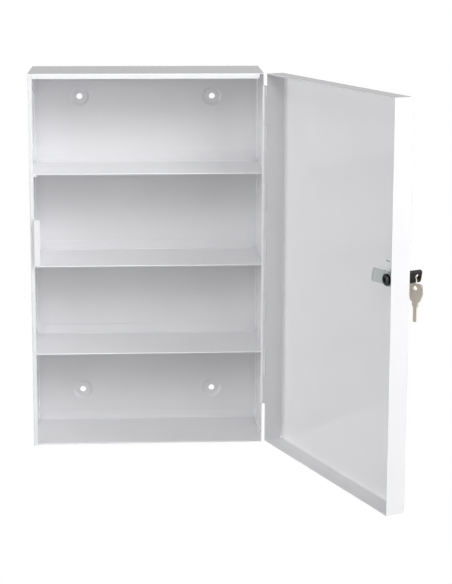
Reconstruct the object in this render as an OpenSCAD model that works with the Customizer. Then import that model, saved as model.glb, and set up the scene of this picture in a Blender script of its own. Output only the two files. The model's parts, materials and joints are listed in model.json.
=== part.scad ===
// Lockable wall cabinet for medicines: a folded sheet-steel body with three fixed
// shelves, a pan door on a piano hinge, and a wafer cam lock with its two keys.
// Millimetres, +Z up. The origin is the centre of the four wall holes, on the plane of
// the wall; the body stands out from the wall along -Y. The door is drawn open.

/* [Body] */
// Outside width of the body and of the door
body_w = 280; // [260:1:320]
// Outside height of the body
body_h = 457.5; // [440:0.5:500]
// Depth from the wall to the front edges of the body
body_d = 98; // [90:1:120]
// Thickness of the painted sheet steel
sheet_t = 0.8; // [0.7:0.05:0.9]
// Width of the left wall's front return
return_w = 5; // [4:0.5:6]
// Drop of the top panel's front lip
lip_h = 6.2; // [6:0.1:9]
// Outside radius of the body's folds
fold_r = 1.6; // [1.3:0.1:2]

/* [Wall holes] */
// Distance between the wall holes, side to side
hole_pitch_x = 165; // [140:1:180]
// Distance between the wall holes, top to bottom
hole_pitch_z = 378; // [340:1:400]
// Radius of a wall hole
hole_r = 3.6; // [2.5:0.1:4]
// Height of the pressed boss around each hole, which rests on the wall
boss_h = 1.5; // [1:0.1:1.5]
// Radius of the boss where it leaves the back panel
boss_r = 12.5; // [10:0.5:14]

/* [Shelves] */
// Underside of the floor above the foot of the side walls
floor_z = 0.6; // [0.4:0.1:1]
// Underside of the lower shelf above the foot of the side walls
shelf_lower_z = 114.4; // [95:0.1:125]
// Underside of the middle shelf
shelf_middle_z = 223.6; // [205:0.1:224]
// Underside of the upper shelf
shelf_upper_z = 336; // [315:0.5:350]
// Height of the upturned rear flange
rear_flange_h = 12; // [8:1:15]
// Length of the chamfer at each end of the rear flange
flange_chamfer = 13; // [8:1:16]
// Depth of the folded hem under a shelf's front edge
hem_d = 8; // [5:1:12]

/* [Door] */
// Angle that the door stands open
door_open = 113.5; // [90:0.5:180]
// Depth of the door pan
door_d = 24.5; // [22:0.5:28]
// Outside radius of the door's folds
door_fold_r = 3.2; // [1.6:0.1:3.4]
// Gap between the closed door and the body, where the hinge barrel sits
hinge_gap = 5.3; // [5:0.1:6]
// Height of the door's lower edge above the foot of the side walls
door_foot = 2.8; // [1:0.1:3]

/* [Hinge] */
// Outside radius of the hinge barrel
barrel_r = 2.35; // [2.3:0.05:2.5]
// Radius of the hinge pin
pin_r = 1.5; // [1.2:0.05:1.5]
// Thickness of a hinge leaf
leaf_t = 0.8; // [0.7:0.05:0.8]
// Distance from the pin's axis to the far edge of a leaf
leaf_w = 17; // [15:0.5:19]
// Length of one knuckle and its gap
knuckle_pitch = 34.5; // [30:0.5:34.5]

/* [Lock] */
// Height of the lock's axis above the foot of the side walls
lock_z = 257.9; // [255:0.1:265]
// Distance from the lock's axis to the door's free edge
lock_inset = 28; // [26:0.1:29]
// Radius of the lock's visible head
head_r = 9.5; // [9:0.1:10.5]
// Height of the head in front of the door
head_h = 8.5; // [8.5:0.1:9]
// Length of the cam from the lock's axis
cam_l = 19.2; // [17:0.1:19.2]
// Width of the cam
cam_w = 15; // [11:0.5:15]
// Set-back of the cam's end from its base
cam_crank = 8; // [7.5:0.1:8]

/* [Keys] */
// Width of a key's blade
blade_w = 5; // [4.6:0.1:5]
// Length of the black key head
key_head_l = 22.8; // [21:0.1:26]
// Height of the black key head
key_head_w = 14.8; // [14:0.2:15]
// Middle radius of the split ring
ring_r = 6; // [5.9:0.1:6.4]

/* [Hidden] */
$fn = 48;
eps = 0.05;         // overshoot of a cutting tool

// Body: planes of its faces
side_x = body_w/2;                  // outer face of a side wall
inner_x = side_x - sheet_t;         // inner face of a side wall
body_low = 2.1;                     // middle of the body below the middle of the wall holes
foot_z = -body_h/2 - body_low;      // foot of the side walls
top_z = body_h/2 - body_low;        // upper face of the top panel
front_y = -body_d;                  // front edges of the body
back_y = -boss_h - sheet_t;         // inner face of the back panel
inner_r = fold_r - sheet_t;         // inside radius of the folds
corner_r = fold_r + 0.4;            // outside radius of the body's three upright folds
corner_gap = corner_r - sheet_t + 0.1;  // cut-back of a panel's corner inside such a fold
seam = 0.1;                         // gap between two folded edges that meet
lip_end_x = side_x - 5;             // right end of the front lip
hem_r = sheet_t;                    // radius of the folded front edge of a shelf

// Hinge: axis and knuckles
hinge_x = inner_x - leaf_t + barrel_r;
hinge_y = front_y - hinge_gap/2;
bore_r = pin_r + 0.05;              // bore of a knuckle
leaf_clear = barrel_r + 0.4;        // where a leaf stops beside the other leaf's knuckle
leaf_top = top_z - 14.4;
leaf_foot = foot_z + 16.1;
short_knuckle = 12.6;               // the first knuckle, at the top
knuckles = 11;                      // full knuckles below it; the last one is left out
knuckle_gap = 0.3;
barrel_foot = leaf_top - short_knuckle - knuckles*knuckle_pitch;

// Door, drawn closed and then turned about the hinge
door_back = front_y - hinge_gap;    // edges of its four sides
door_face = door_back - door_d;     // its front face
door_foot_z = foot_z + door_foot;
corner_slit = 0.5;                  // gap between two sides at a corner of the pan

// Lock: depths along its own axis, 0 at the door's face and + outwards
lock_x = -side_x + lock_inset;
nut_back = -3.3;
housing_back = -8.6;
clip_back = -9.1;
shoulder_back = -9.5;
washer_back = -10;
cam_back = -11.5;
spring_back = -12;
bolt_back = -15.2;
cam_t = 1.5;
body_r = 8;                         // threaded body of the lock
body_flat = 7.1;                    // half width across its flats
plug_r = 6;
drive_w = 6;                        // square end of the plug
bolt_r = 2.5;
wafers = 5;
wafer_pitch = 2.1;
wafer_front = 5.6;
wafer_w = 4.4;
wafer_t = 0.7;
stop_tab = 20;                      // angle that the stop washer's tab covers
plug_turn = 12;                     // how far the key stands turned from its open stop

// Keys
blade_t = 1.8;
blade_tip = -3.6;
key_head_z = 9.2;                    // where the black head starts
key_head_t = 5;
tang_end = key_head_z + 10;         // end of the blade inside the black head
ring_hole_z = 25.9;                 // hole through the black head
ring_hole_r = 3.2;
ring_wire = 1.2;                    // thickness of the ring
ring_drop = 0.4;                    // height of the ring's wire below the hole's middle
ring_shift = 1.3;                   // how far the ring hangs towards the hinge
ring_turn = -27.7;                  // how far the ring is twisted in the hole
spare_turn = -47;                   // how far the spare key is twisted on the ring
spare_hole_r = 2.6;
spare_drop = 1.2;                   // height of the spare key's hole below the ring's wire
spare_t = 1.9;

// ---- Helpers ----

// Square with round corners between two corner points
module rounded_box(low, high, r) {
    size = high - low;
    translate(low + [r, 0]) square(size - [2*r, 0]);
    translate(low + [0, r]) square(size - [0, 2*r]);
    for (x = [low.x + r, high.x - r], y = [low.y + r, high.y - r])
        translate([x, y]) circle(r);
}

// Box between two corner points
module box(low, high) translate(low) cube(high - low);

// Quarter of a ring: the section of a fold. toward is the pair of signs of its corner
module fold(centre, toward) {
    translate(centre) intersection() {
        difference() {
            circle(fold_r);
            circle(inner_r);
        }
        translate([min(toward.x, 0)*fold_r, min(toward.y, 0)*fold_r]) square(fold_r);
    }
}

// Flat strip of thickness t bent along a path of points
module strip(points, t) {
    for (i = [0 : len(points) - 2]) {
        run = points[i + 1] - points[i];
        translate(points[i]) rotate(atan2(run.y, run.x))
            translate([0, -t/2]) square([norm(run), t]);
    }
    for (i = [1 : len(points) - 2]) translate(points[i]) circle(d = t);
}

// Section in (Y, Z) carried along X
module along_x(x0, x1) {
    translate([x0, 0, 0]) rotate([90, 0, 90]) linear_extrude(x1 - x0) children();
}

// Outline in (X, Z) carried along Y
module along_y(y0, y1) {
    translate([0, y1, 0]) rotate([90, 0, 0]) linear_extrude(y1 - y0) children();
}

// Outline in (X, Y) carried along Z
module along_z(z0, z1) translate([0, 0, z0]) linear_extrude(z1 - z0) children();

// Puts what was drawn with the door closed where the open door is
module on_door() {
    translate([hinge_x, hinge_y, 0]) rotate(door_open)
        translate([-hinge_x, -hinge_y, 0]) children();
}

// Lock frame: +Z out of the door's face along the lock's axis, +X to the hinge, +Y up
module at_lock() {
    on_door() translate([lock_x, door_face, foot_z + lock_z]) rotate([90, 0, 0]) children();
}

// Plug frame: the lock frame, turned with the key, the plug and the cam
module at_plug() at_lock() rotate(plug_turn) children();

// Round or hexagonal washer about the lock's axis
module disc(z0, z1, r, sides = $fn) translate([0, 0, z0]) cylinder(h = z1 - z0, r = r, $fn = sides);

// Square prism about the lock's axis
module drive(z0, z1, w) translate([-w/2, -w/2, z0]) cube([w, w, z1 - z0]);

// Points on an arc, from angle a0 to a1
function arc(c, r, a0, a1, n = 8) = [for (i = [0 : n]) c + r*[cos(a0 + (a1 - a0)*i/n),
    sin(a0 + (a1 - a0)*i/n)]];

// ---- Body ----

// Pressed boss around a wall hole, axis +Z to the wall, 0 at the back panel's inner face
module wall_boss() {
    slope_w = 3;
    shift = 0.3;
    rotate_extrude() polygon([
        [hole_r, boss_h],
        [boss_r - slope_w - shift, boss_h],
        [boss_r - shift, 0],
        [boss_r + shift, 0],
        [boss_r + shift, sheet_t],
        [boss_r, sheet_t],
        [boss_r - slope_w, boss_h + sheet_t],
        [hole_r, boss_h + sheet_t]]);
}

// Places its child at each wall hole, +Z to the wall, 0 at the back panel's inner face
module at_wall_holes() {
    for (x = [-1, 1]*hole_pitch_x/2, z = [-1, 1]*hole_pitch_z/2)
        translate([x, back_y, z]) rotate([-90, 0, 0]) children();
}

// Back and both side walls in one folded sheet, with the left wall's front return
module wrap_section() {
    difference() {
        rounded_box([-side_x, front_y], [side_x, back_y + sheet_t], corner_r);
        rounded_box([-inner_x, front_y + sheet_t], [inner_x, back_y], corner_r - sheet_t);
        translate([-side_x + return_w, front_y - 1]) square([body_w, corner_r + 1.5]);
    }
    translate([inner_x, front_y]) square([sheet_t, corner_r + 1]);
}

module body_wrap() {
    color("white") {
        difference() {
            along_z(foot_z, top_z) wrap_section();
            at_wall_holes() disc(-eps, sheet_t + eps, boss_r);
        }
        at_wall_holes() wall_boss();
    }
}

module top_panel() {
    bend_y = front_y + fold_r;
    rear_y = back_y - fold_r;
    color("white") difference() {
        top_sheet(bend_y, rear_y);
        for (side = [-1, 1]) corner_cut(side*inner_x, back_y, top_z - rear_flange_h - 1, top_z + 1);
        corner_cut(-inner_x, front_y + sheet_t, top_z - sheet_t - 1, top_z + 1);
    }
}

// Upright cut that clears a panel's corner from the round inside of a body fold
module corner_cut(x, y, z0, z1) {
    along_z(z0, z1) translate([x, y]) square(2*corner_gap, center = true);
}

module top_sheet(bend_y, rear_y) {
    union() {
        difference() {
            along_x(-side_x + return_w + seam, lip_end_x) {
                translate([front_y, top_z - lip_h]) square([sheet_t, lip_h - fold_r]);
                fold([bend_y, top_z - fold_r], [-1, 1]);
            }
            along_y(front_y - 1, front_y + 1) polygon([
                [lip_end_x + 1, top_z - lip_h - 1],
                [lip_end_x - 2, top_z - lip_h - 1],
                [lip_end_x + 1, top_z - lip_h + 4]]);
        }
        along_x(-inner_x, inner_x) {
            translate([bend_y, top_z - sheet_t]) square([rear_y - bend_y, sheet_t]);
            fold([rear_y, top_z - fold_r], [1, 1]);
            translate([back_y - sheet_t, top_z - rear_flange_h])
                square([sheet_t, rear_flange_h - fold_r]);
        }
        box([lip_end_x, front_y, top_z - sheet_t], [inner_x, bend_y, top_z]);
        box([-inner_x, front_y + sheet_t, top_z - sheet_t],
            [-side_x + return_w + seam, bend_y, top_z]);
    }
}

// Floor or shelf: hemmed front edge, upturned rear flange with chamfered ends
module tray(under_z) {
    nose_y = front_y + seam + hem_r;
    rear_y = back_y - fold_r;
    plate_z = under_z + sheet_t;
    rise_z = plate_z + fold_r;
    flange_top = plate_z + sheet_t + rear_flange_h;
    difference() {
        along_x(-inner_x, inner_x) {
            translate([nose_y, plate_z]) circle(hem_r);
            translate([nose_y, under_z]) square([hem_d, sheet_t + eps]);
            translate([nose_y, plate_z]) square([rear_y - nose_y, sheet_t]);
            fold([rear_y, rise_z], [1, -1]);
            translate([back_y - sheet_t, rise_z]) square([sheet_t, flange_top - rise_z]);
        }
        // clear of the left wall's front return
        box([-side_x, front_y - 1, under_z - 1],
            [-side_x + return_w + seam, front_y + sheet_t, plate_z + sheet_t + 1]);
        corner_cut(-inner_x, front_y + sheet_t, under_z - 1, plate_z + sheet_t + 1);
        // clear of the hinge leaf on the right wall
        if (under_z > leaf_foot)
            box([inner_x - leaf_t - 0.1, front_y - 1, under_z - 1],
                [side_x, hinge_y + leaf_w + 0.2, plate_z + sheet_t + 1]);
        for (side = [-1, 1]) {
            along_y(rear_y, back_y + eps) polygon([
                [side*(inner_x + eps), rise_z],
                [side*(inner_x + eps), flange_top + eps],
                [side*(inner_x - flange_chamfer), flange_top + eps]]);
            // round relief notch where the bend meets the side wall
            along_z(under_z - 1, rise_z + 1) {
                translate([side*(inner_x - 1), back_y - 1.1]) circle(1.3);
                translate([side*inner_x, back_y]) square(2.3, center = true);
            }
        }
    }
}

// Tabs under a shelf that are spot-welded to the side walls
module weld_tabs(under_z) {
    tab_h = 8;
    for (x = [-inner_x, inner_x - sheet_t])
        box([x, -45, under_z + sheet_t - tab_h], [x + sheet_t, -15, under_z + sheet_t + eps]);
}

module floor_panel() color("white") tray(foot_z + floor_z);

module shelf_lower() {
    color("white") {
        tray(foot_z + shelf_lower_z);
        weld_tabs(foot_z + shelf_lower_z);
    }
}

module shelf_middle() {
    color("white") {
        tray(foot_z + shelf_middle_z);
        weld_tabs(foot_z + shelf_middle_z);
    }
}

// The upper shelf's front edge has a small lug at its left end
module shelf_upper() {
    lug_x = -side_x + return_w + seam;
    under_z = foot_z + shelf_upper_z;
    color("white") {
        tray(under_z);
        weld_tabs(under_z);
        box([lug_x, front_y + seam, under_z - 1.7],
            [lug_x + 4, front_y + seam + sheet_t, under_z + sheet_t]);
    }
}

// Bent strip behind the left return: it reaches into the door and the cam turns in behind it
module strike_bracket() {
    foot_y = front_y + 1.5*sheet_t;
    web_x = -side_x + return_w + 1;
    leg_y = door_face + 17.5;
    color("white") along_z(foot_z + 228.5, foot_z + 283.9) strip([
        [-inner_x + corner_gap, foot_y],
        [web_x, foot_y],
        [web_x, leg_y],
        [web_x + 6.5, leg_y]], sheet_t);
}

// ---- Hinge ----

// Top and foot of knuckle i, counted from 0 at the top
function knuckle_top(i) = i == 0 ? leaf_top : leaf_top - short_knuckle - (i - 1)*knuckle_pitch;
function knuckle_foot(i) = knuckle_top(i + 1) + knuckle_gap;

// One leaf and its knuckles about the pin; side is +1 for the body's and -1 for the door's
module leaf(side, first) {
    leaf_x = -barrel_r;
    near = side*leaf_clear;
    far = side*leaf_w;
    difference() {
        union() {
            box([leaf_x, min(near, far), leaf_foot], [leaf_x + leaf_t, max(near, far), leaf_top]);
            for (i = [first : 2 : knuckles]) {
                disc(knuckle_foot(i), knuckle_top(i), barrel_r);
                box([leaf_x, min(0, side*(leaf_clear + 1)), knuckle_foot(i)],
                    [leaf_x + leaf_t, max(0, side*(leaf_clear + 1)), knuckle_top(i)]);
            }
        }
        disc(leaf_foot - 1, leaf_top + 1, bore_r);
    }
}

module body_hinge_leaf() color("gainsboro") translate([hinge_x, hinge_y, 0]) leaf(1, 0);

module door_hinge_leaf() color("gainsboro") on_door() translate([hinge_x, hinge_y, 0]) leaf(-1, 1);

module hinge_pin() color("silver") translate([hinge_x, hinge_y, 0]) disc(barrel_foot, leaf_top, pin_r);

// ---- Door ----

// Solid block with rounded front edges, in from the door's outline by inset
module door_block(inset, r, back) {
    intersection() {
        along_z(door_foot_z + inset, top_z - inset)
            rounded_front([-side_x + inset, door_face + inset], [side_x - inset, back], r);
        along_x(-side_x, side_x) rotate(-90) mirror([1, 0]) rounded_front(
            [door_foot_z + inset, door_face + inset], [top_z - inset, back], r);
    }
}

// Rectangle whose two corners at the low Y side are round
module rounded_front(low, high, r) {
    translate(low + [0, r]) square(high - low - [0, r]);
    translate(low + [r, 0]) square([high.x - low.x - 2*r, r + eps]);
    for (x = [low.x + r, high.x - r]) translate([x, low.y + r]) circle(r);
}

module lock_outline(clear) {
    intersection() {
        circle(body_r + clear);
        square([2*(body_flat + clear), 2*(body_r + 1)], center = true);
    }
}

module door_pan() {
    color("white") on_door() difference() {
        door_block(0, door_fold_r, door_back);
        door_block(sheet_t, door_fold_r - sheet_t, door_back + 1);
        for (x = [-side_x, side_x], z = [door_foot_z, top_z]) {
            translate([x, door_face, z]) sphere(door_fold_r + 0.2);
            slit_x = x < 0 ? -inner_x : inner_x - corner_slit;
            box([slit_x, door_face + door_fold_r, z - sheet_t - eps],
                [slit_x + corner_slit, door_back + 1, z + sheet_t + eps]);
        }
        translate([lock_x, door_face, foot_z + lock_z]) rotate([90, 0, 0])
            along_z(-sheet_t - 1, 1) lock_outline(0.05);
    }
}

// ---- Lock ----

// Ring at the back of the housing that stops the washer's tab at each end of its turn
module stop_lug_outline() {
    difference() {
        lock_outline(0);
        circle(7.25);
        for (side = [-1, 1]) rotate(side*(stop_tab/2 + 2)) translate([-20, 0]) square([40, 20]);
    }
}

module lock_housing() {
    bevel = 0.8;
    bore = plug_r + 0.05;
    face_r = 7.15;      // recess for the plug's head
    face_d = 1.2;
    color("silver") at_lock() difference() {
        union() {
            rotate_extrude() polygon([
                [bore, 0],
                [head_r, 0],
                [head_r, head_h - bevel],
                [head_r - bevel, head_h],
                [face_r, head_h],
                [face_r, head_h - face_d],
                [bore, head_h - face_d]]);
            along_z(housing_back, eps) difference() {
                lock_outline(0);
                circle(bore);
            }
            along_z(washer_back + 0.1, housing_back + eps) stop_lug_outline();
        }
        // channel that the wafers spring out into
        translate([-wafer_w/2 - 0.2, -7.3, -4]) cube([wafer_w + 0.4, 14.6, 10.6]);
    }
}

module lock_nut() {
    color("silver") at_lock() difference() {
        disc(nut_back, -sheet_t, 11, 6);
        disc(nut_back - 1, 0, body_r + 0.05);
    }
}

// Turning plug: keyway, wafer slots, clip groove, square end and bolt hole
module lock_plug() {
    clip_r = 5;
    color("silver") at_plug() difference() {
        union() {
            disc(shoulder_back, head_h - 0.1, plug_r);
            disc(head_h - 1.15, head_h - 0.1, 7);
            drive(cam_back + 0.1, shoulder_back + eps, drive_w);
        }
        difference() {
            disc(clip_back, housing_back, plug_r + 1);
            disc(clip_back - 1, housing_back + 1, clip_r);
        }
        box([-1, -blade_w/2 - 0.2, blade_tip - 0.3], [1, blade_w/2 + 0.2, head_h + 1]);
        for (i = [0 : wafers - 1]) {
            z = wafer_front - i*wafer_pitch;
            box([-wafer_w/2 - 0.1, -plug_r - 1, z - 0.45], [wafer_w/2 + 0.1, plug_r + 1, z + 0.45]);
        }
        disc(cam_back - 1, -7.3, bolt_r + 0.05);
    }
}

// Spring clip in the plug's groove, behind the housing
module plug_clip() {
    color("dimgray") at_plug() difference() {
        disc(clip_back + 0.05, housing_back - 0.05, 7);
        disc(clip_back - 1, housing_back + 1, 5.05);
        translate([-4, 0, clip_back - 1]) cube([8, 10, 3]);
    }
}

// Wafers, drawn in by the key so that the plug turns
module plug_wafers() {
    color("goldenrod") at_plug() for (i = [0 : wafers - 1]) {
        z = wafer_front - i*wafer_pitch;
        difference() {
            intersection() {
                box([-wafer_w/2, -plug_r, z - wafer_t/2], [wafer_w/2, plug_r, z + wafer_t/2]);
                disc(z - 1, z + 1, plug_r - 0.1);
            }
            box([-1.1, -blade_w/2 - 0.3, z - 1], [1.1, blade_w/2 + 0.3, z + 1]);
        }
    }
}

module stop_washer() {
    tab_w = 2*7.9*sin(stop_tab/2);
    color("silver") at_plug() difference() {
        union() {
            disc(washer_back, shoulder_back, 6.9);
            box([5, -tab_w/2, washer_back], [7.7, tab_w/2, shoulder_back]);
        }
        drive(washer_back - 1, shoulder_back + 1, drive_w + 0.1);
    }
}

// Cranked cam, seen at the back of the door; its end is round about the lock's axis
module lock_cam() {
    base_z = cam_back + cam_t/2;
    color("silver") at_plug() difference() {
        intersection() {
            rotate([90, 0, 0]) translate([0, 0, -10]) linear_extrude(20) strip([
                [-10, base_z],
                [7, base_z],
                [14.5, base_z - cam_crank],
                [cam_l + 2, base_z - cam_crank]], cam_t);
            along_z(-20, 0) intersection() {
                circle(cam_l);
                union() {
                    circle(7.8);
                    translate([0, -cam_w/2]) square([cam_l + 1, cam_w]);
                }
            }
        }
        drive(cam_back - 1, cam_back + cam_t + 1, drive_w + 0.1);
    }
}

module spring_washer() {
    color("black") at_plug() difference() {
        disc(spring_back, cam_back, 6.6);
        disc(spring_back - 1, cam_back + 1, bolt_r + 0.1);
    }
}

module cam_bolt() {
    color("black") at_plug() difference() {
        union() {
            disc(bolt_back, spring_back, 6.2, 6);
            disc(spring_back - eps, -7.5, bolt_r);
        }
        disc(bolt_back - 1, bolt_back + 0.8, 3.6);
    }
}

// ---- Keys ----

// Blade of the key in the lock, with its cuts and the part inside the black head
module key_blade() {
    cut = 0.9;
    color("silver") at_plug() difference() {
        union() {
            box([-blade_t/2, -blade_w/2, blade_tip], [blade_t/2, blade_w/2, key_head_z]);
            box([-blade_t/2, -4, key_head_z - 0.5], [blade_t/2, 4, tang_end]);
        }
        for (i = [0 : wafers - 1], side = [-1, 1])
            translate([0, side*(blade_w/2 + 0.25), wafer_front - i*wafer_pitch])
                rotate([45, 0, 0]) cube([4, cut, cut], center = true);
        for (side = [-1, 1]) translate([0, side*blade_w/2, blade_tip])
            rotate([45, 0, 0]) cube([4, 2, 2], center = true);
    }
}

// Black moulded head with bevelled edges, round the blade's broad end
module key_head() {
    bevel = 1.6;
    low = [-key_head_w/2, key_head_z];
    high = [key_head_w/2, key_head_z + key_head_l];
    color("black") at_plug() rotate([0, -90, 0]) rotate(-90) difference() {
        union() {
            along_z(-key_head_t/2, key_head_t/2) rounded_box(low + [bevel, bevel],
                high - [bevel, bevel], 1.6);
            along_z(-key_head_t/2 + bevel, key_head_t/2 - bevel) rounded_box(low, high, 3);
        }
        translate([0, ring_hole_z, 0]) disc(-5, 5, ring_hole_r);
        box([-4.02, 0, -blade_t/2], [4.02, tang_end + 0.02, blade_t/2]);
    }
}

// Ring frame: at the middle of the wire in the black head's hole, +Y up, +Z along the wire
module at_ring() {
    at_lock() translate([ring_shift, -ring_drop, ring_hole_z]) rotate([0, ring_turn, 0])
        rotate([0, 90, 0]) children();
}

module split_ring() {
    color("silver") at_ring() translate([0, -ring_r, 0]) rotate([0, 90, 0]) rotate_extrude()
        translate([ring_r, 0]) circle(d = ring_wire, $fn = 8);
}

// Right half of the spare key's outline, 0 at the middle of its hole, +Y up
function half_key(tip) = concat(
    [[0, 5.2]],
    arc([6.2, 0.4], 4.8, 90, 10),
    arc([6.6, -4], 4.4, 0, -28, 4),
    [[6.2, -15.2], [4.4, -15.2], [4.4, -19], [2.9, -21], [blade_w/2, -21.6]],
    [[blade_w/2, tip + 1], [blade_w/2 - 1, tip]]);
function flip(points) = [for (i = [len(points) - 1 : -1 : 1]) [-points[i].x, points[i].y]];

// Plain spare key hanging on the ring by its hole
module spare_key() {
    tip = -37.8;
    groove = 0.5;
    color("silver") at_ring() translate([0, -2*ring_r - spare_drop, 0]) rotate([0, spare_turn, 0])
        difference() {
            along_z(-spare_t/2, spare_t/2) polygon(concat(half_key(tip), flip(half_key(tip))));
            disc(-5, 5, spare_hole_r);
            for (side = [-1, 1]) translate([side*0.9, tip - 1, side*spare_t/2])
                box([-0.5, 0, -groove], [0.5, 20, groove]);
        }
}

body_wrap();
top_panel();
floor_panel();
shelf_lower();
shelf_middle();
shelf_upper();
strike_bracket();
body_hinge_leaf();
hinge_pin();
door_pan();
door_hinge_leaf();
lock_housing();
lock_nut();
lock_plug();
plug_clip();
plug_wafers();
stop_washer();
lock_cam();
spring_washer();
cam_bolt();
key_blade();
key_head();
split_ring();
spare_key();
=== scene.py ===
# %% [markdown]
# # A lockable medicine cabinet, dressed in Blender
# A shallow wall cabinet of white powder-coated sheet steel, with its door open.
# The solids come from CAD, packed as a frame of named nodes on rigid bodies: the cabinet,
# the door, the lock's plug, the key, the ring and the spare key. This script gives each
# one its finish, swaps some small pieces for finer ones, and lights the scene as a plain
# studio shot on white.

# %% Load the frame
import json
import math
import bpy
import numpy as np
from mathutils import Matrix, Vector


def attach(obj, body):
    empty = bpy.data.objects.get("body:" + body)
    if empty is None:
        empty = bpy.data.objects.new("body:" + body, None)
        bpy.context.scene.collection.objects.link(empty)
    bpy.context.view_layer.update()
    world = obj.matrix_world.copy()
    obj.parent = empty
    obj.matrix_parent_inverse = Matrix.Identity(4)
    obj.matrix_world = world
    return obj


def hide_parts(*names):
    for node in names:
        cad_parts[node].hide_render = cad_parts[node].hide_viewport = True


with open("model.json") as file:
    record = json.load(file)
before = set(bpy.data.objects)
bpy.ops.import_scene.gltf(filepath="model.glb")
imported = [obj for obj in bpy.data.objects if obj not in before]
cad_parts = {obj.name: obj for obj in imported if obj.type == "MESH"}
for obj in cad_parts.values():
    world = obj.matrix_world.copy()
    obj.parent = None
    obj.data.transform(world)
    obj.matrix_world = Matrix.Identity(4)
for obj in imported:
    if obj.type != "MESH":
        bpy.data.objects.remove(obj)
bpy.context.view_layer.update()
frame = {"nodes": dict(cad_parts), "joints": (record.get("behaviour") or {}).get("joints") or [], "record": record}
nodes = frame["nodes"]

# %% [markdown]
# ## Camera
# The photograph was taken from in front of the cabinet, just left of its middle and a
# little above its top, looking slightly down. The lens is long, so the upright edges
# stay nearly parallel. The numbers were fitted to the cabinet's corners in the picture.
# The picture's centre of perspective is above its middle, so the lens is shifted
# rather than tilted further.

# %% Camera
PHOTO_HEIGHT = 584                       # pixels, the long side
CENTRE_ROW = 189.1                       # pixels down to the centre of perspective
FOCAL_PIXELS = 1587.1
SENSOR_MM = 36.0
CAMERA_AT = (-0.0117, -1.975, 0.4130)    # metres
YAW, PITCH, ROLL = (math.radians(a) for a in (3.258, -9.831, 0.183))

def camera_axes(yaw, pitch, roll):
    """Right, up and back directions of a camera that looks along +Y before it is
    turned right by yaw, up by pitch and then rolled."""
    forward = np.array([math.sin(yaw) * math.cos(pitch),
                        math.cos(yaw) * math.cos(pitch), math.sin(pitch)])
    right = np.array([math.cos(yaw), -math.sin(yaw), 0.0])
    up = np.cross(right, forward)
    c, s = math.cos(roll), math.sin(roll)
    return c * right + s * up, c * up - s * right, -forward

camera = bpy.data.objects.new("camera", bpy.data.cameras.new("camera"))
bpy.context.scene.collection.objects.link(camera)
axes = np.array(camera_axes(YAW, PITCH, ROLL)).T
camera.matrix_world = Matrix.Translation(CAMERA_AT) @ Matrix(axes.tolist()).to_4x4()
camera.data.sensor_width = SENSOR_MM
camera.data.lens = FOCAL_PIXELS * SENSOR_MM / PHOTO_HEIGHT
camera.data.shift_y = (CENTRE_ROW - PHOTO_HEIGHT / 2) / PHOTO_HEIGHT
bpy.context.scene.camera = camera
bpy.context.scene.view_settings.view_transform = "Standard"
print("lens", round(camera.data.lens, 2), "mm, shift", round(camera.data.shift_y, 4))

# %% [markdown]
# ## Helpers for materials
# Colours are written as the sRGB hex values that a colour picker shows, and one function
# turns them into the linear numbers that Blender computes with. Another adds a node with
# its settings and its links.

# %% Colour and node helpers
def linear(hex_colour):
    """sRGB hex to linear RGBA: v/12.92 below 0.04045, else ((v + 0.055)/1.055)^2.4."""
    v = np.array([int(hex_colour[i:i + 2], 16) for i in (1, 3, 5)]) / 255
    rgb = np.where(v <= 0.04045, v / 12.92, ((v + 0.055) / 1.055) ** 2.4)
    return (*rgb.tolist(), 1.0)

def add_node(tree, kind, values=None, links=None, **settings):
    """A node of that kind with its settings, its sockets' values and its incoming links."""
    node = tree.nodes.new(kind)
    for name, value in settings.items():
        setattr(node, name, value)
    for name, value in (values or {}).items():
        node.inputs[name].default_value = value
    for name, source in (links or {}).items():
        tree.links.new(source, node.inputs[name])
    return node

def new_material(name, colour, **sockets):
    """A material with one Principled shader. Sockets are given with _ for a space."""
    material = bpy.data.materials.new(name)
    material.use_nodes = True
    shader = material.node_tree.nodes["Principled BSDF"]
    shader.inputs["Base Color"].default_value = linear(colour)
    for socket, value in sockets.items():
        shader.inputs[socket.replace("_", " ")].default_value = value
    return material, material.node_tree, shader

def per_metre(millimetres):
    """Texture scale, in repeats a metre, of a pattern with that spacing in millimetres."""
    return 1000.0 / millimetres

# %% [markdown]
# ## White powder coat
# The cabinet is folded from sheet steel and then powder coated: dry polyester powder is
# sprayed on and baked, which leaves an even, slightly soft gloss. Close up it has
# "orange peel", a shallow ripple a millimetre or two across, and the thin sheet under it
# is never quite flat, so broad reflections waver. Both are bumps here. The ripple is
# drawn 3 mm wide, because the real 1.5 mm would be lost at the picture's scale.

# %% White powder coat
PEEL_MM, WAVER_MM, TONE_MM = 3.0, 90.0, 45.0       # widths of the three patterns
DULL = 0.965                                       # the darkest tone, as a share of the colour

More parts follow.
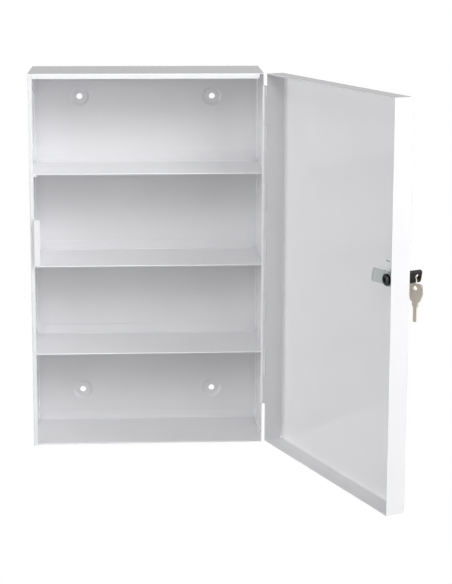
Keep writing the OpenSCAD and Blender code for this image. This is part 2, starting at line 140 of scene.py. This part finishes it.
def powder_coat(name, colour, roughness):
    """Polyester powder coat: fine ripple, a wavering sheet and a trace of tone."""
    material, tree, shader = new_material(name, colour, Roughness=roughness, IOR=1.5)
    place = add_node(tree, "ShaderNodeTexCoord").outputs["Object"]
    peel = add_node(tree, "ShaderNodeTexNoise", {"Scale": per_metre(PEEL_MM), "Detail": 1.0},
                    {"Vector": place})
    sheet = add_node(tree, "ShaderNodeTexNoise", {"Scale": per_metre(WAVER_MM), "Detail": 0.0},
                     {"Vector": place})
    waver = add_node(tree, "ShaderNodeBump", {"Strength": 0.1, "Distance": 0.0004},
                     {"Height": sheet.outputs["Fac"]})
    ripple = add_node(tree, "ShaderNodeBump", {"Strength": 0.1, "Distance": 0.00002},
                      {"Height": peel.outputs["Fac"], "Normal": waver.outputs["Normal"]})
    tree.links.new(ripple.outputs["Normal"], shader.inputs["Normal"])
    tone = add_node(tree, "ShaderNodeTexNoise", {"Scale": per_metre(TONE_MM), "Detail": 3.0},
                    {"Vector": place})
    base = linear(colour)
    dull = [DULL * c for c in base[:3]] + [1.0]
    ramp = add_node(tree, "ShaderNodeMix", {"A": dull, "B": base},
                    {"Factor": tone.outputs["Fac"]}, data_type="RGBA")
    tree.links.new(ramp.outputs[2], shader.inputs["Base Color"])
    return material

white_coat = powder_coat("powder_coat_white", "#EDEDEF", 0.06)
print("made", white_coat.name)

# %% [markdown]
# ## Metal and plastic finishes
# The lock's head is die-cast zinc with bright nickel plate, which has a warm grey
# reflection. The cam, nut and washer are stamped and zinc plated: duller, with faint
# cloudy patches where the plating grew. The cam's bolt is blackened, the wafers are
# stamped brass, and the hinge's pin is drawn steel wire. The key's head is moulded in
# black plastic with a fine spark-eroded grain.

# %% Metal and plastic finishes
SCRATCH_MM, SCRATCH_STRETCH = 0.25, 0.08           # width, and width as a share of length

def plated(name, colour, roughness, cloud_mm, cloud):
    """Plated metal: cloudy roughness at one scale and fine scratches along Z at another."""
    material, tree, shader = new_material(name, colour, Metallic=1.0)
    place = add_node(tree, "ShaderNodeTexCoord").outputs["Object"]
    patches = add_node(tree, "ShaderNodeTexNoise",
                       {"Scale": per_metre(cloud_mm), "Detail": 4.0}, {"Vector": place})
    spread = add_node(tree, "ShaderNodeMapRange",
                      {"To Min": roughness - cloud, "To Max": roughness + cloud},
                      {"Value": patches.outputs["Fac"]})
    tree.links.new(spread.outputs["Result"], shader.inputs["Roughness"])
    stretch = add_node(tree, "ShaderNodeMapping", {"Scale": (1.0, 1.0, SCRATCH_STRETCH)},
                       {"Vector": place})
    scratch = add_node(tree, "ShaderNodeTexNoise",
                       {"Scale": per_metre(SCRATCH_MM), "Detail": 2.0},
                       {"Vector": stretch.outputs["Vector"]})
    bump = add_node(tree, "ShaderNodeBump", {"Strength": 0.15, "Distance": 0.00005},
                    {"Height": scratch.outputs["Fac"]})
    tree.links.new(bump.outputs["Normal"], shader.inputs["Normal"])
    return material

def moulded_plastic(name, colour, roughness, grain_mm):
    """Moulded plastic with the fine pitted grain of a spark-eroded mould."""
    material, tree, shader = new_material(name, colour, Roughness=roughness, IOR=1.53,
                                          Specular_IOR_Level=0.25)
    place = add_node(tree, "ShaderNodeTexCoord").outputs["Object"]
    grain = add_node(tree, "ShaderNodeTexNoise", {"Scale": per_metre(grain_mm), "Detail": 2.0},
                     {"Vector": place})
    bump = add_node(tree, "ShaderNodeBump", {"Strength": 0.4, "Distance": 0.0001},
                    {"Height": grain.outputs["Fac"]})
    tree.links.new(bump.outputs["Normal"], shader.inputs["Normal"])
    return material

finishes = {
    "white_steel": white_coat,
    "bright_steel": plated("steel_drawn_bright", "#C3C3C2", 0.32, 6.0, 0.05),
    "nickel_plate": plated("nickel_plate_bright", "#E9E1D5", 0.38, 5.0, 0.05),
    "zinc_plate": plated("zinc_plate_dull", "#ACB2B2", 0.5, 2.5, 0.05),
    "brass": plated("brass_stamped", "#CBA75A", 0.3, 3.0, 0.06),
    "black_steel": plated("steel_blackened", "#38383A", 0.42, 2.0, 0.08),
    "black_plastic": moulded_plastic("plastic_black_moulded", "#171614", 0.5, 0.5),
}
print("finishes:", sorted(finishes))

# %% [markdown]
# ## Finishes on the CAD nodes
# Each CAD node names a material slot in the record. The node keeps its mesh and takes
# the finish of its slot.

# %% Finishes on the CAD nodes
slot_of = {part["node"]: part["material_slot"] for part in frame["record"]["subparts"]}

def dress(node_name, material):
    """Puts one material in every slot of a CAD node."""
    node = nodes[node_name]
    if not node.material_slots:
        node.data.materials.append(material)
    for slot in node.material_slots:
        slot.material = material

for node_name in nodes:
    dress(node_name, finishes[slot_of[node_name]])
print("dressed", len(nodes), "nodes")

# %% [markdown]
# ## Surfaces from grids
# Every new piece is a sheet of points worked out with numpy as one array: rows along one
# parameter, columns along another. A sheet can close on itself either way, like a tube or
# a ring. Edges sharper than a set angle are kept crisp and the rest is shaded smooth.

# %% Grid helpers
def grid_object(name, points, wrap=(False, False), caps=False, sharp=32.0):
    """Joins a grid of points (rows, columns, xyz in metres) with four-sided faces."""
    rows, columns = points.shape[:2]
    i, j = np.meshgrid(np.arange(rows - (not wrap[0])), np.arange(columns - (not wrap[1])),
                       indexing="ij")
    next_i, next_j = (i + 1) % rows, (j + 1) % columns
    faces = np.stack([i * columns + j, next_i * columns + j, next_i * columns + next_j,
                      i * columns + next_j], -1).reshape(-1, 4).tolist()
    if caps:
        faces.append(list(range(columns)))
        faces.append([(rows - 1) * columns + c for c in range(columns)][::-1])
    mesh = bpy.data.meshes.new(name)
    mesh.from_pydata(points.reshape(-1, 3).tolist(), [], faces)
    mesh.shade_smooth()
    mesh.set_sharp_from_angle(angle=math.radians(sharp))
    piece = bpy.data.objects.new(name, mesh)
    bpy.context.scene.collection.objects.link(piece)
    return piece

def outward(piece):
    """Turns a closed piece's faces outwards, by the sign of its volume."""
    mesh = piece.data
    mesh.calc_loop_triangles()
    corners = np.empty(len(mesh.vertices) * 3)
    mesh.vertices.foreach_get("co", corners)
    corners = corners.reshape(-1, 3)
    triangles = np.empty(len(mesh.loop_triangles) * 3, int)
    mesh.loop_triangles.foreach_get("vertices", triangles)
    a, b, c = corners[triangles.reshape(-1, 3)].transpose(1, 0, 2)
    if np.einsum("ij,ij->i", a, np.cross(b, c)).sum() < 0:
        mesh.flip_normals()
    return piece

def join(name, pieces):
    """One object from several, which are removed."""
    with bpy.context.temp_override(active_object=pieces[0], selected_editable_objects=pieces):
        bpy.ops.object.join()
    pieces[0].name = pieces[0].data.name = name
    return pieces[0]

def fit_piece(piece, body, slot_name, *replaced):
    """Finish, body and the CAD nodes that the piece stands for."""
    piece.data.materials.append(finishes[slot_name])
    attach(piece, body)
    if replaced:
        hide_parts(*replaced)
    print(piece.name, "rides on", body, "with", len(piece.data.polygons), "faces")

# %% [markdown]
# ## Where the moving pieces are
# The hinge, the lock, the ring and the spare key each have a joint in the frame, and its
# place and axis give the local axes to build on. The lock's own axes are: z out of the
# door along the lock, y up and x towards the hinge.

# %% Local axes from the joints
joints = {joint["name"]: joint for joint in frame["joints"]}
HINGE = np.array(joints["door_hinge"]["pos_m"])
DOOR_OPEN = -joints["door_hinge"]["range_deg"][0]      # closed to the open rest pose
LOCK = np.array(joints["lock_turn"]["pos_m"])
LOCK_OUT = np.array(joints["lock_turn"]["axis"])
UP = np.array([0.0, 0.0, 1.0])
LOCK_ACROSS = np.cross(UP, LOCK_OUT)

def turned(points, degrees):
    """Points turned about the hinge's axis: x' = x cos a - y sin a, y' = x sin a + y cos a."""
    c, s = math.cos(math.radians(degrees)), math.sin(math.radians(degrees))
    return (points - HINGE) @ np.array([[c, s, 0], [-s, c, 0], [0, 0, 1]]) + HINGE

def at_lock(points):
    """Points in millimetres in the lock's axes, to metres in the frame."""
    return LOCK + points @ np.array([LOCK_ACROSS, UP, LOCK_OUT]) / 1000.0

print("door open", DOOR_OPEN, "degrees, lock at", LOCK.round(4))

# %% [markdown]
# ## Piano hinge
# A piano hinge is two long strips of sheet whose edges are cut into tabs, and each tab is
# rolled round the pin. A plain tube for each knuckle would miss the slit where the roll
# comes back to its strip, which shows as a fine dark line. So the section of a strip with
# its roll is drawn once, as one closed outline, and carried along the height of each
# knuckle. The two strips are the same section, one turned half way round.

# %% Piano hinge
LEAF_TOP, LEAF_FOOT = 212.25, -214.75      # millimetres
KNUCKLE, KNUCKLE_GAP, KNUCKLES = 34.5, 0.3, 11
FIRST_KNUCKLE = 12.6                     # the end knuckle, cut short by the hinge's end
BARREL_R, BORE_R, LEAF_T, LEAF_W = 2.35, 1.55, 0.8, 17.0
STRIP_START, TAB_END = 0.4, 0.6          # past the barrel, so that a tab overlaps its strip
ROLL_START, ROLL_END = 180, 484          # degrees round the pin

def strip_section():
    """The flat strip, from the barrel to its far edge."""
    near, far = BARREL_R + STRIP_START, LEAF_W
    return np.array([[-BARREL_R, near], [-BARREL_R + LEAF_T, near],
                     [-BARREL_R + LEAF_T, far], [-BARREL_R, far]])

def knuckle_section():
    """The strip's end, rolled round the pin: out along the outside arc and back along
    the bore, both at (r cos a, r sin a)."""
    a = np.radians(np.linspace(ROLL_START, ROLL_END, 40))[:, None]
    outside = BARREL_R * np.hstack([np.cos(a), np.sin(a)])
    inside = BORE_R * np.hstack([np.cos(a), np.sin(a)])[::-1]
    end = BARREL_R + TAB_END
    return np.vstack([[[-BARREL_R, end]], outside, inside, [[-BARREL_R + LEAF_T, end]]])

def column(section, foot, top):
    """A closed section carried up from foot to top, about the hinge's axis."""
    heights = np.array([foot, top])
    points = np.zeros((2, len(section), 3))
    points[..., :2] = section
    points[..., 2] = heights[:, None]
    return points / 1000.0 + HINGE * [1, 1, 0]

def hinge_half(name, side, first):
    """One strip and every other knuckle, from the first."""
    tops = LEAF_TOP - np.r_[0, FIRST_KNUCKLE + KNUCKLE * np.arange(KNUCKLES + 1)]
    flip = np.array([1, side])
    parts = [column(strip_section() * flip, LEAF_FOOT, LEAF_TOP)]
    for i in range(first, KNUCKLES + 1, 2):
        parts.append(column(knuckle_section() * flip, tops[i + 1] + KNUCKLE_GAP, tops[i]))
    if side < 0:
        parts = [turned(points, DOOR_OPEN) for points in parts]
    pieces = [outward(grid_object(name, points, (False, True), caps=True)) for points in parts]
    return join(name, pieces)

fit_piece(hinge_half("hinge_strip_body", 1, 0), "cabinet", "white_steel", "body_hinge_leaf")
fit_piece(hinge_half("hinge_strip_door", -1, 1), "door", "white_steel", "door_hinge_leaf")

# %% [markdown]
# ## Split ring
# A split ring is one spring wire, flattened and wound twice round, so a key is threaded
# on between its turns. It is a tube along a flat spiral: the wire goes round twice while
# it moves sideways by one wire's width.

# %% Split ring
RING_R, RING_SHIFT, RING_DROP, RING_HOLE_Z = 6.0, 1.3, 0.4, 25.9       # millimetres
RING_TURN = -27.7                        # degrees about the upright
WIRE_PITCH = 0.6                         # sideways, from one turn to the next
WIRE_HALF_W, WIRE_HALF_T = 0.29, 0.5     # half the wire's width and thickness
WIRE_START = 2.3                         # radians round the ring to the wire's ends
TAPER, TAPER_TIP = 0.25, 0.35            # radians, and the share of the section at the tip

def at_ring(points):
    """Points in the ring's axes (x across the ring, y up, z along its wire at the top),
    through the lock's axes to the frame."""
    a = math.radians(RING_TURN + 90)
    turn = np.array([[math.cos(a), 0, -math.sin(a)], [0, 1, 0], [math.sin(a), 0, math.cos(a)]])
    return at_lock(points @ turn + [RING_SHIFT, -RING_DROP, RING_HOLE_Z])

def ring_coils():
    """The wire's centre at angle t, from 0 to 4 pi, is at radius R and moves sideways by
    p (t/2pi - 1). Its section is an oval that narrows at both ends of the wire."""
    t = np.linspace(0, 4 * np.pi, 190)[:, None]
    a = np.linspace(0, 2 * np.pi, 16, endpoint=False)[None, :]
    taper = np.clip(np.minimum(t, 4 * np.pi - t) / TAPER, TAPER_TIP, 1)
    sideways = WIRE_PITCH * (t / (2 * np.pi) - 1) + WIRE_HALF_W * taper * np.sin(a)
    radius = RING_R + WIRE_HALF_T * taper * np.cos(a)
    turn = t + WIRE_START
    return np.stack([sideways, radius * np.cos(turn) - RING_R, radius * np.sin(turn)], -1)

coils = grid_object("split_ring_coils", at_ring(ring_coils()), (False, True), caps=True, sharp=60)
fit_piece(outward(coils), "ring", "nickel_plate", "split_ring")

# %% [markdown]
# ## Spare key
# The spare is stamped from nickel-plated brass: a broad bow with a round hole, a shoulder,
# and a blade with a milled groove on each side. Every point of its outline can be seen
# from the middle of its hole, so the plate is a grid that runs round the hole one way
# and, the other way, out over one face, round the edge and back over the other face.

# %% Spare key
SPARE_TURN = -47.0                       # degrees about the upright, from the ring
SPARE_DROP, SPARE_HOLE_R, SPARE_T, BLADE_W, TIP = 1.2, 2.6, 1.9, 5.0, -37.8
SPARE_EASE, SPARE_SPACING = 0.18, 0.35   # the eased edge, and the outline's point spacing
GROOVE_DEPTH, GROOVE_ASIDE, GROOVE_HALF, GROOVE_TOP = 0.45, 0.9, 0.5, -17

def arc(centre, radius, start, end, count):
    """Points on an arc from start to end, in degrees."""
    a = np.radians(np.linspace(start, end, count))[:, None]
    return np.array(centre) + radius * np.hstack([np.cos(a), np.sin(a)])

def along(corners, spacing):
    """Points at an even spacing along a line through the corners."""
    steps = np.linalg.norm(np.diff(corners, axis=0), axis=1)
    length = np.r_[0, np.cumsum(steps)]
    at = np.linspace(0, length[-1], int(length[-1] / spacing) + 1)
    return np.column_stack([np.interp(at, length, corners[:, k]) for k in range(2)])

def spare_outline():
    """The right half, in mm from the hole's centre, from the top of the bow down to the
    blade's tip, and then its mirror."""
    half = np.vstack([[[0, 5.2]], arc([6.2, 0.4], 4.8, 90, 10, 12), arc([6.6, -4], 4.4, 0, -28, 6),
                      [[6.2, -15.2], [4.4, -15.2], [4.4, -19], [2.9, -21], [BLADE_W / 2, -21.6],
                       [BLADE_W / 2, TIP + 1.6], [BLADE_W / 2 - 0.5, TIP + 0.5], [0.6, TIP]]])
    half = along(half, SPARE_SPACING)
    return np.vstack([half, half[:0:-1] * [-1, 1]])

def spare_plate():
    """A face's points are (r cos a, r sin a), where r goes from the hole's edge to the
    outline as v goes from 0 to 1. A groove runs along each side of the blade."""
    outline = spare_outline()
    angle = np.arctan2(outline[:, 1], outline[:, 0])[:, None]
    hole = SPARE_HOLE_R * np.hstack([np.cos(angle), np.sin(angle)])
    reach = np.linalg.norm(outline, axis=1)[:, None]
    v = np.linspace(0, 1, 60)
    start, stop = SPARE_HOLE_R + SPARE_EASE, reach - SPARE_EASE
    face_r = start + (stop - start) * v
    direction = np.stack([np.cos(angle[:, 0]), np.sin(angle[:, 0])], -1)
    face = direction[:, None, :] * face_r[..., None]
    top = np.full(face_r.shape, SPARE_T / 2)
    def groove(side):
        """Its depth at each point of a face: side is 1 or -1."""
        return (GROOVE_DEPTH * (np.abs(face[..., 0] - side * GROOVE_ASIDE) < GROOVE_HALF)
                * (face[..., 1] < GROOVE_TOP))
    upper = np.dstack([face, top - groove(1)])
    lower = np.dstack([face, groove(-1) - top])[:, ::-1]
    rim = np.array([SPARE_T / 2 - SPARE_EASE, -SPARE_T / 2 + SPARE_EASE])
    def wall(edge, heights):
        """Two rows along an edge, at those two heights."""
        return np.dstack([np.repeat(edge[:, None, :], 2, 1), np.tile(heights, (len(edge), 1))])
    return np.hstack([upper, wall(outline, rim), lower, wall(hole, -rim)])

def at_spare(points):
    """Points in the spare key's axes (x across the bow, y up, z through its hole)."""
    a = math.radians(SPARE_TURN)
    turn = np.array([[math.cos(a), 0, -math.sin(a)], [0, 1, 0], [math.sin(a), 0, math.cos(a)]])
    return at_ring(points @ turn + [0, -2 * RING_R - SPARE_DROP, 0])

plate = grid_object("spare_key_plate", at_spare(spare_plate()), (True, True), sharp=28)
fit_piece(outward(plate), "spare", "nickel_plate", "spare_key")

# %% [markdown]
# ## Key head
# The working key's bow is moulded over in black plastic: a block with bevelled edges, a
# round hole for the ring and fine ribs across its narrow edges, to grip. It is made like
# the spare key, as a grid round its hole, and the ribs are a wave in the outline.

# %% Key head
HEAD_Z, HEAD_L, HEAD_W, HEAD_T, HEAD_HOLE_R, HEAD_BEVEL = 9.2, 22.8, 14.8, 5.0, 3.2, 1.6
HEAD_CORNER, FACE_CORNER, RIM_SPACING = 3.0, 1.6, 0.2
RIB_DEPTH, RIB_PITCH, RIB_FADE = 0.5, 2.2, 0.02
HOLE_LIP = ((0, 0.35), (0.12, 0.1), (0.4, 0))      # steps outwards and down at the hole
LIP_W, EDGE_EASE, HOLE_EASE = 0.4, 0.12, 0.02
PLUG_TURN = 12.0                         # degrees that the key stands turned in the lock

def rounded_rectangle(low, high, radius, spacing):
    """Once round a rectangle with round corners, at an even spacing."""
    x0, y0, x1, y1 = low[0] + radius, low[1] + radius, high[0] - radius, high[1] - radius
    corners = np.vstack([[[x1 + radius, 0]], arc([x1, y1], radius, 0, 90, 12),
                         arc([x0, y1], radius, 90, 180, 12), arc([x0, y0], radius, 180, 270, 12),
                         arc([x1, y0], radius, 270, 360, 12), [[x1 + radius, 0]]])
    return along(corners, spacing)[:-1]

def head_block():
    """About the hole: u along the key, v up. The ribs on the two long edges are
    depth/2 (1 - cos(2 pi u/pitch)), and fade out before the corners."""
    low = np.array([HEAD_Z - RING_HOLE_Z, -HEAD_W / 2])
    high = np.array([HEAD_Z + HEAD_L - RING_HOLE_Z, HEAD_W / 2])
    rim = rounded_rectangle(low, high, HEAD_CORNER, RIM_SPACING)
    on_edge = np.clip((np.abs(rim[:, 1]) - (HEAD_W / 2 - RIB_FADE)) / RIB_FADE + 1, 0, 1)
    rib = RIB_DEPTH / 2 * (1 - np.cos(2 * np.pi * rim[:, 0] / RIB_PITCH)) * on_edge
    ribbed = rim - np.stack([0 * rib, np.sign(rim[:, 1]) * rib], -1)
    angle = np.arctan2(rim[:, 1], rim[:, 0])
    ray = np.stack([np.cos(angle), np.sin(angle)], -1)
    inner = rounded_rectangle(low + HEAD_BEVEL, high - HEAD_BEVEL, FACE_CORNER, RIM_SPACING)
    inner_angle = np.arctan2(inner[:, 1], inner[:, 0])
    order = np.argsort(inner_angle)
    inner_r = np.interp(angle, inner_angle[order], np.linalg.norm(inner, axis=1)[order],
                        period=2 * np.pi)
    half = HEAD_T / 2
    hole_r = HEAD_HOLE_R + HOLE_EASE
    rings = [(ray * (hole_r + out), half - down) for out, down in HOLE_LIP]
    lip_r, face_w = hole_r + LIP_W, inner_r - 0.15 - hole_r - LIP_W
    rings += [(ray * (lip_r + face_w * s)[:, None], half) for s in np.linspace(0.15, 1, 8)]
    rings += [(ray * inner_r[:, None] * (1 - s) + ribbed * s, half - HEAD_BEVEL * s)
              for s in (0.06, 0.5, 0.94)]
    rings += [(ribbed, half - HEAD_BEVEL - EDGE_EASE)]
    upper = np.stack([np.column_stack([ring, np.full(len(ring), z)]) for ring, z in rings], 1)
    lower = upper[:, ::-1] * [1, 1, -1]
    return np.hstack([upper, lower])

def at_head(points):
    """u along the lock's axis, v up and the thickness across, turned with the plug by
    x' = x cos a - y sin a and y' = x sin a + y cos a, to the frame."""
    u, v, across = points[..., 0], points[..., 1], -points[..., 2]
    c, s = math.cos(math.radians(PLUG_TURN)), math.sin(math.radians(PLUG_TURN))
    return at_lock(np.stack([across * c - v * s, across * s + v * c, u + RING_HOLE_Z], -1))

head = grid_object("key_head_moulded", at_head(head_block()), (True, True), sharp=40)
fit_piece(outward(head), "key", "black_plastic", "key_head")

# %% [markdown]
# ## Cam bolt
# The bolt that holds the cam has a low round head with a flange, cold formed and then
# blackened, and a hexagon socket. It is a lathe shape: one profile of radius and depth is
# carried round the lock's axis, and the socket's rows follow a hexagon instead of a circle.

# %% Cam bolt
COLUMNS = 72                             # points round the lock's axis

def hexagon(radius, angle):
    """Radius of a hexagon at an angle: r cos 30 / cos(((a + 30) mod 60) - 30)."""
    return radius * math.cos(math.pi / 6) / np.cos((angle + np.pi / 6) % (np.pi / 3) - np.pi / 6)

def bolt_head():
    """Rows of (radius, depth) in mm from the cam to the socket's floor, carried round as
    (r cos a, r sin a, depth)."""
    angle = np.linspace(0, 2 * np.pi, COLUMNS, endpoint=False)
    round_rows = [(2.4, -7.6), (2.4, -12.05), (4.8, -12.05), (4.8, -13.3), (6.3, -13.4),
                  (6.4, -13.5), (6.4, -13.9), (6.2, -14.1), (5.2, -14.8), (4.6, -15.05),
                  (4.1, -15.15), (3.5, -15.15)]
    socket_rows = [(3.1, -15.1), (3.0, -14.9), (3.0, -13.6), (0.6, -13.4)]
    radius = np.vstack([np.full((1, COLUMNS), r) for r, _ in round_rows]
                       + [hexagon(r, angle)[None, :] for r, _ in socket_rows])
    depth = np.array([z for _, z in round_rows + socket_rows])[:, None] + 0 * radius
    points = np.stack([radius * np.cos(angle), radius * np.sin(angle), depth], -1)
    return at_lock(points)

bolt = grid_object("cam_bolt_head", bolt_head(), (False, True), caps=True)
fit_piece(outward(bolt), "plug", "black_steel", "cam_bolt")

# %% [markdown]
# ## Slot above the lock
# The door's inner face has a short punched slot above the lock, which shows as a dark dash of shade.
# The slot isn't cut: a dark inlay as long and high as the slot, set level with the sheet, is painted
# shade for the inside of the slot. The sheet is only 0.8 mm thick, so this leaves the door's own mesh alone.

# %% Slot above the lock
SLOT_AT, SLOT_SIZE, SHEET = (16.0, 16.4), (7.4, 0.8), 0.8              # millimetres
SLOT_PROUD, SLOT_SUNK = 0.02, 0.28       # past the sheet's inner face, and into it

def painted_slot_shade():
    """Painted shade for the slot: a flat dark box in the lock's axes, a loop of four
    corners, (+-w/2, +-h/2) about its middle, at two depths."""
    x = SLOT_AT[0] + SLOT_SIZE[0] * np.array([-0.5, 0.5, 0.5, -0.5])
    y = SLOT_AT[1] + SLOT_SIZE[1] * np.array([-0.5, -0.5, 0.5, 0.5])
    depths = np.array([-SHEET - SLOT_PROUD, -SHEET + SLOT_SUNK])
    return at_lock(np.stack([np.stack([x, y, 0 * x + z], -1) for z in depths]))

slot = grid_object("door_slot_painted_shade", painted_slot_shade(), (False, True), caps=True)
# The inlay uses the blackened steel finish as painted shade for the inside of the slot.
fit_piece(outward(slot), "door", "black_steel")

# %% [markdown]
# ## Floor, light and background
# The object was photographed on white with large soft lights, and cut out. A pale floor
# lies well below, as under a cabinet that hangs on a wall, so its shadow is out of the
# picture. The camera sees the floor mostly as white, with a trace of its shadow, so the
# cabinet also stands on white from other sides. Large area lamps stand in for softboxes.
# The world is white where the camera or a reflection sees it, and a weak fill where it
# lights the object. In reflections it is grey above the horizon, like a studio's
# ceiling, so the top panel doesn't mirror pure white.

# %% Floor
FLOOR_Z, FLOOR_RADIUS = -1.25, 1.25      # metres
FLOOR_WHITE = 0.85                       # share of pure white that the camera sees

def disc_mesh(name, radius, height, rings=24, sectors=96):
    """A flat disc: points at (r cos a, r sin a) over a grid of radius r and angle a."""
    r, a = np.meshgrid(np.linspace(0.02, radius, rings), np.arange(sectors) * 2 * np.pi / sectors,
                       indexing="ij")
    points = np.stack([r * np.cos(a), r * np.sin(a), np.full_like(r, height)], -1).reshape(-1, 3)
    i, j = np.meshgrid(np.arange(rings - 1), np.arange(sectors), indexing="ij")
    k = (j + 1) % sectors
    quads = np.stack([i * sectors + j, (i + 1) * sectors + j, (i + 1) * sectors + k,
                      i * sectors + k], -1).reshape(-1, 4)
    mesh = bpy.data.meshes.new(name)
    mesh.from_pydata(points.tolist(), [], quads.tolist() + [list(range(sectors))[::-1]])
    return mesh

floor = bpy.data.objects.new("studio_floor", disc_mesh("studio_floor", FLOOR_RADIUS, FLOOR_Z))
bpy.context.scene.collection.objects.link(floor)
floor_paint, tree, shader = new_material("studio_floor_matt", "#F4F4F4", Roughness=0.9)
paper = add_node(tree, "ShaderNodeEmission", {"Color": (1, 1, 1, 1), "Strength": 1.0})
share = add_node(tree, "ShaderNodeMath", {1: FLOOR_WHITE},
                 {0: add_node(tree, "ShaderNodeLightPath").outputs["Is Camera Ray"]},
                 operation="MULTIPLY")
look = add_node(tree, "ShaderNodeMixShader", links={0: share.outputs[0],
                1: shader.outputs[0], 2: paper.outputs[0]})
tree.links.new(look.outputs[0], tree.nodes["Material Output"].inputs["Surface"])
floor.data.materials.append(floor_paint)
print("floor at", FLOOR_Z, "m")

# %% World
FILL, CEILING = 0.01, 0.4                # strengths: the fill, and the reflected ceiling
SWEEP_LOW, SWEEP_TOP = 0.03, 0.12        # heights, as sines, where white turns to ceiling
world = bpy.data.worlds.new("studio_white")
bpy.context.scene.world = world
world.use_nodes = True
tree = world.node_tree
fill = tree.nodes["Background"]
fill.inputs["Color"].default_value = (1, 1, 1, 1)
fill.inputs["Strength"].default_value = FILL
direction = add_node(tree, "ShaderNodeTexCoord").outputs["Generated"]
height = add_node(tree, "ShaderNodeSeparateXYZ", links={"Vector": direction}).outputs["Z"]
sweep = add_node(tree, "ShaderNodeMapRange",
                 {"From Min": SWEEP_LOW, "From Max": SWEEP_TOP, "To Min": 1.0,
                  "To Max": CEILING}, {"Value": height})
ray = add_node(tree, "ShaderNodeLightPath").outputs
strength = add_node(tree, "ShaderNodeMath", links={0: sweep.outputs["Result"],
                    1: ray["Is Camera Ray"]}, operation="MAXIMUM")
seen = add_node(tree, "ShaderNodeBackground", {"Color": (1, 1, 1, 1)},
                {"Strength": strength.outputs[0]})
either = add_node(tree, "ShaderNodeMath", links={0: ray["Is Camera Ray"],
                  1: ray["Is Glossy Ray"]}, operation="MAXIMUM")
any_of = add_node(tree, "ShaderNodeMath", links={0: either.outputs[0],
                  1: ray["Is Transmission Ray"]}, operation="MAXIMUM")
mix = add_node(tree, "ShaderNodeMixShader", links={0: any_of.outputs[0],
               1: fill.outputs[0], 2: seen.outputs[0]})
tree.links.new(mix.outputs[0], tree.nodes["World Output"].inputs["Surface"])
print("world fill", FILL)

# %% Lamps
AIM = (0.08, -0.15, 0.0)

def softbox(name, place, size, power):
    """A square area lamp that faces AIM, with its side in metres and power in watts."""
    data = bpy.data.lights.new(name, "AREA")
    data.shape = "SQUARE"
    data.size = size
    data.energy = power
    lamp = bpy.data.objects.new(name, data)
    bpy.context.scene.collection.objects.link(lamp)
    aim = Vector(AIM) - Vector(place)
    lamp.rotation_euler = aim.to_track_quat("-Z", "Y").to_euler()
    lamp.location = place
    print(name, "at", place, "with", power, "W")

softbox("softbox_front_right", (2.0, -2.6, 0.4), 1.4, 33.0)
softbox("softbox_right", (2.6, -0.9, 0.4), 1.4, 8.0)
softbox("softbox_front_left", (-2.0, -2.6, 0.5), 1.4, 14.0)
softbox("softbox_left", (-2.4, -0.9, 0.4), 1.4, 35.0)
softbox("softbox_high_front", (0.0, -2.4, 1.9), 1.4, 21.0)
softbox("softbox_high_front_right", (1.6, -2.2, 1.9), 1.4, 28.0)
softbox("softbox_high_right", (1.8, -1.2, 1.8), 1.2, 27.0)
softbox("softbox_low_back", (0.0, 2.4, -0.6), 1.4, 34.0)
